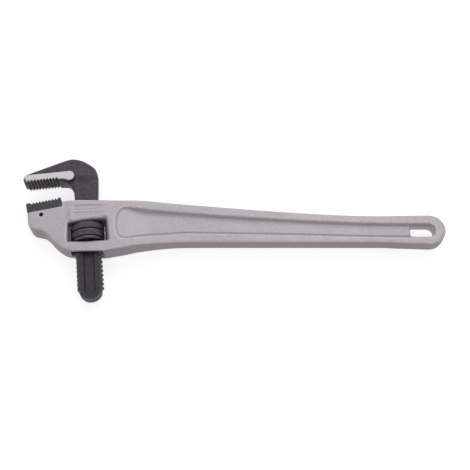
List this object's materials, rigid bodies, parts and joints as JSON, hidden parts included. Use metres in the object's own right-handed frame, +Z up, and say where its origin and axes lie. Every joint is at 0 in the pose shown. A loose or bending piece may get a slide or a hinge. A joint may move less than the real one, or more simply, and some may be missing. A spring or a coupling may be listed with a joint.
{
  "type": "pipe wrench",
  "caption": "Offset adjustable pipe wrench: light-alloy I-beam handle with a hanging slot, and a toothed hook jaw that a knurled nut raises and lowers.",
  "frame": {"origin": "centre of the bounding box's base, with the wrench lying on its side", "axes": "+X along the handle towards the hanging slot, +Y across the handle towards the hook jaw's head, +Z up through the thickness"},
  "size_m": [0.4596, 0.1646, 0.036],
  "materials": {
    "cast_aluminium": "satin shot-blasted casting",
    "forged_steel": "dark phosphate on forged steel",
    "nut_steel": "black oxide",
    "spring_steel": "bright drawn steel"
  },
  "bodies": {
    "handle": {"cast_handle": "cast_aluminium", "heel_jaw": "forged_steel", "heel_jaw_pin": "spring_steel", "coil_spring": "spring_steel"},
    "spring_leaf": {"flat_spring": "spring_steel", "spring_rivet": "spring_steel"},
    "hook": {"hook_jaw": "forged_steel"},
    "nut": {"adjusting_nut": "nut_steel"}
  },
  "joints": [
    {"name": "hook_rock", "type": "hinge", "parent": "handle", "child": "spring_leaf", "pos_m": [-0.15501, -0.00771, 0.018], "axis": [0, 0, 1], "range_deg": [0, 2], "stiffness_Nm_per_rad": 60, "deforming": ["coil_spring"]},
    {"name": "hook_slide", "type": "slide", "parent": "spring_leaf", "child": "hook", "axis": [-0.1132, 0.9936, 0], "range_m": [-0.0196, 0.0475]},
    {"name": "nut_spin", "type": "hinge", "parent": "spring_leaf", "child": "nut", "pos_m": [-0.15501, -0.00771, 0.018], "axis": [-0.1132, 0.9936, 0], "range_deg": [-1690, 700]}
  ],
  "couplings": [
    {"joint": "nut_spin", "follows": "hook_slide", "rad_per_m": -618.42}
  ]
}
